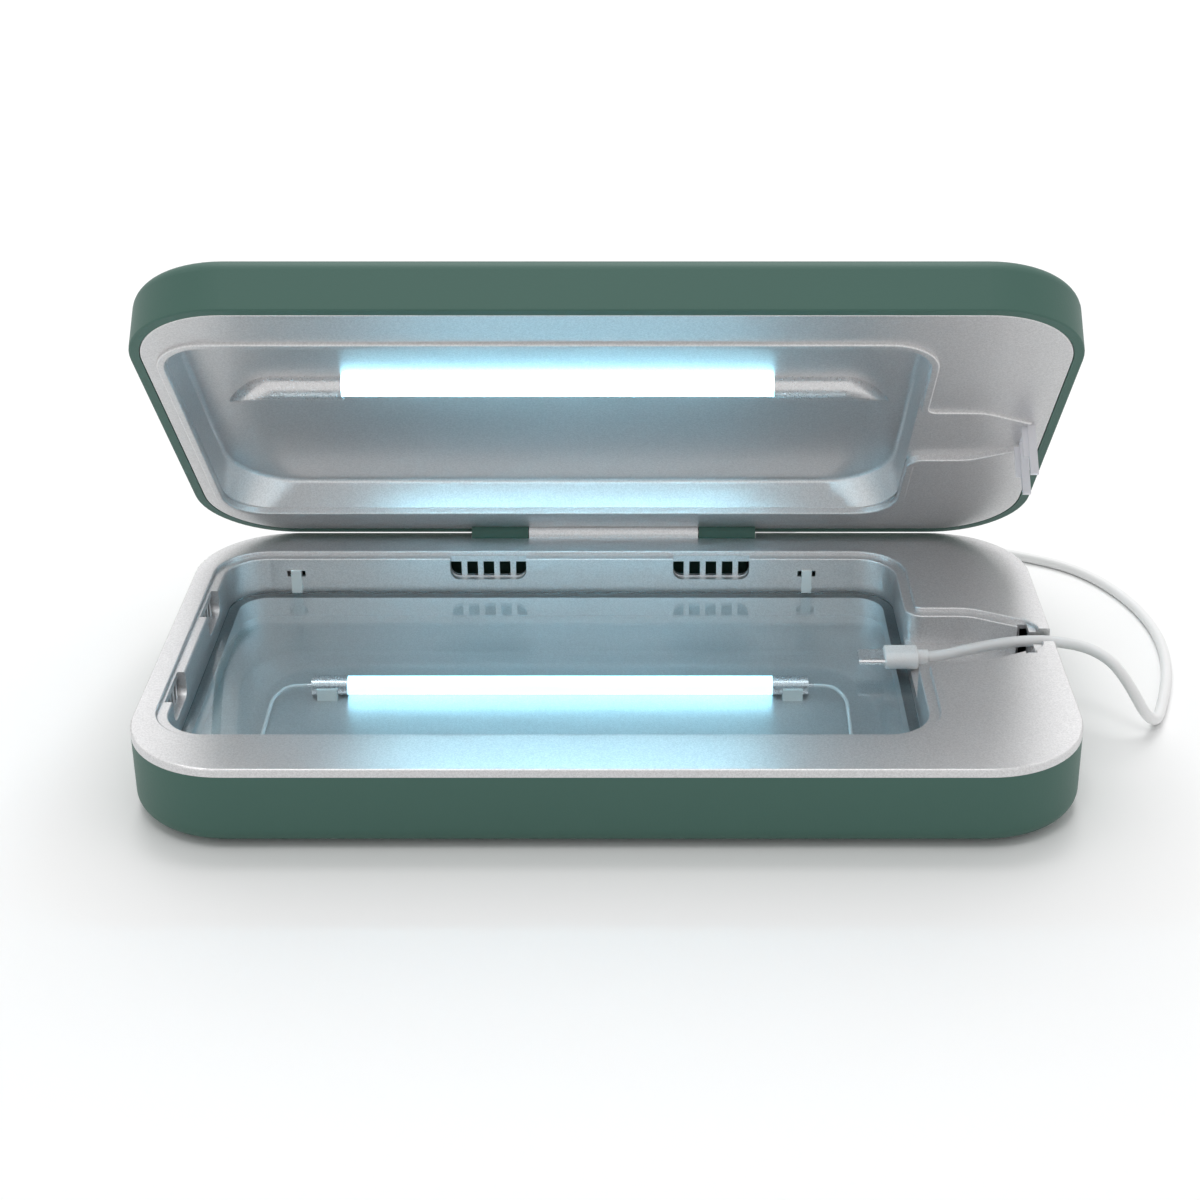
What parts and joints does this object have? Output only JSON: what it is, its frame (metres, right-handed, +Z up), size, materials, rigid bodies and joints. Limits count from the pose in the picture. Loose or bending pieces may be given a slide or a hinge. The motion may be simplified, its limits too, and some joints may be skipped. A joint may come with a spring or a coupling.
{
  "type": "uv sanitizer box for phones",
  "caption": "Clamshell ultraviolet sanitizer box for a phone: green case, silver chamber, lamps above and below, hinged lid, cable channel and charging lead.",
  "frame": {"origin": "centre of the rectangle that the case stands over, on the surface that the feet rest on", "axes": "+X to the cable side, +Y to the hinge at the back, +Z up; the lid stands 47.6 degrees open"},
  "size_m": [0.2598, 0.1755, 0.1232],
  "materials": {
    "case_green": "satin moulded plastic, dark grey-green",
    "tray_silver": "metallic silver paint on plastic, fine grain, satin",
    "cowl_silver": "metallic silver paint on plastic, satin",
    "quartz": "clear, polished",
    "clip_white": "white moulded plastic",
    "lamp_glass": "clear tube, pale blue when lit",
    "lamp_cap": "plain",
    "holder_white": "plain",
    "wire_white": "thin insulation",
    "wire_black": "thin insulation",
    "board_green": "circuit board",
    "component_black": "moulded",
    "port_steel": "plated sheet",
    "plug_steel": "plated",
    "screw_steel": "zinc plated",
    "pin_steel": "ground",
    "foot_rubber": "matte black",
    "bush_brass": "plain",
    "magnet_grey": "nickel plated",
    "gate_white": "translucent white",
    "lens_clear": "clear, polished",
    "cord_white": "satin white jacket",
    "plug_white": "satin white"
  },
  "bodies": {
    "base": {"base_shell": "case_green", "base_tray": "tray_silver", "quartz_plate": "quartz", "quartz_clips": "clip_white", "lower_lamp_tube": "lamp_glass", "lower_lamp_caps": "lamp_cap", "lower_lamp_holders": "holder_white", "lower_lamp_leads": "wire_white", "inverter_board": "board_green", "inverter_parts": "component_black", "control_board": "board_green", "control_board_parts": "component_black", "usb_a_port": "port_steel", "usb_c_port": "port_steel", "power_jack": "component_black", "supply_lead": "wire_black", "lid_sensor": "component_black", "board_screws": "screw_steel", "base_screws": "screw_steel", "rubber_feet": "foot_rubber", "hinge_bushes": "bush_brass", "hinge_lead": "wire_black", "lead_cord": "cord_white", "lead_coil": "cord_white", "lead_tail": "cord_white", "lead_plug": "plug_white", "lead_plug_tongue": "plug_steel", "usb_a_plug": "plug_white", "usb_a_plug_shell": "plug_steel"},
    "lid": {"lid_shell": "case_green", "lid_reflector": "tray_silver", "hinge_pins": "pin_steel", "upper_lamp_tube": "lamp_glass", "upper_lamp_caps": "lamp_cap", "upper_lamp_holders": "holder_white", "upper_lamp_leads": "wire_white", "lamp_cowl_left": "cowl_silver", "lamp_cowl_right": "cowl_silver", "cable_gate": "gate_white", "lid_magnet": "magnet_grey", "indicator_board": "board_green", "indicator_board_screws": "screw_steel", "indicator_lens": "lens_clear", "lid_lead": "wire_black"}
  },
  "joints": [
    {"name": "lid_hinge", "type": "hinge", "parent": "base", "child": "lid", "pos_m": [0, 0.0635, 0.0215], "axis": [-1, 0, 0], "range_deg": [-47.6, 12.4]}
  ]
}
